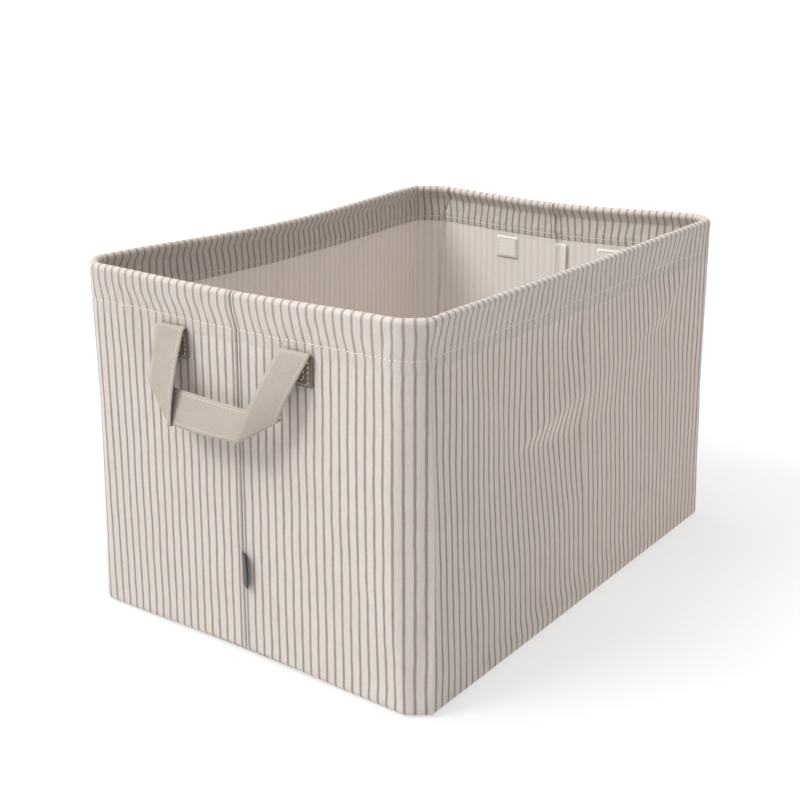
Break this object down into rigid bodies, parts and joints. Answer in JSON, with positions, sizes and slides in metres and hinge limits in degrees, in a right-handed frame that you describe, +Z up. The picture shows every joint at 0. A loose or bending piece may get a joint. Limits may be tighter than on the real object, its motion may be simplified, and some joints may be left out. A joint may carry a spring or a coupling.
{
  "type": "fabric storage bin",
  "caption": "Open rectangular storage bin of striped canvas, held open by a wire in its rim, with a hanging webbing handle at each short end.",
  "frame": {"origin": "floor under the middle of the base", "axes": "+Z up; the short ends face -Y (front, with the label) and +Y (back); the long sides face -X and +X"},
  "size_m": [0.348, 0.5374, 0.3],
  "materials": {
    "canvas": "cream canvas with thin upright taupe stripes, matte",
    "lining": "plain pale cloth, matte",
    "board": "grey pressed paperboard",
    "wire": "plain drawn steel",
    "sleeve": "crimped steel tube",
    "webbing": "greige cotton webbing, matte",
    "label": "dark woven tape, bare"
  },
  "bodies": {
    "tub": {"wall_panel_left": "canvas", "wall_panel_right": "canvas", "base_panel": "canvas", "base_board": "board", "base_inner_sheet": "lining", "rim_wire_left": "wire", "rim_wire_right": "wire", "wire_sleeve_front": "sleeve", "wire_sleeve_back": "sleeve", "front_sewn_end_left": "webbing", "front_patch_left": "webbing", "front_sewn_end_right": "webbing", "front_patch_right": "webbing", "back_sewn_end_left": "webbing", "back_patch_left": "webbing", "back_sewn_end_right": "webbing", "back_patch_right": "webbing"},
    "front_handle": {"front_handle_loop": "webbing"},
    "back_handle": {"back_handle_loop": "webbing"},
    "label": {"side_label": "label"}
  },
  "joints": [
    {"name": "front_handle_swing", "type": "hinge", "parent": "tub", "child": "front_handle", "pos_m": [0, -0.2467, 0.262], "axis": [-1, 0, 0], "range_deg": [0, 160]},
    {"name": "back_handle_swing", "type": "hinge", "parent": "tub", "child": "back_handle", "pos_m": [0, 0.2467, 0.262], "axis": [1, 0, 0], "range_deg": [0, 160]},
    {"name": "label_flick", "type": "hinge", "parent": "tub", "child": "label", "pos_m": [0, -0.2446, 0.075], "axis": [0, 0, -1], "range_deg": [-15, 140]}
  ]
}
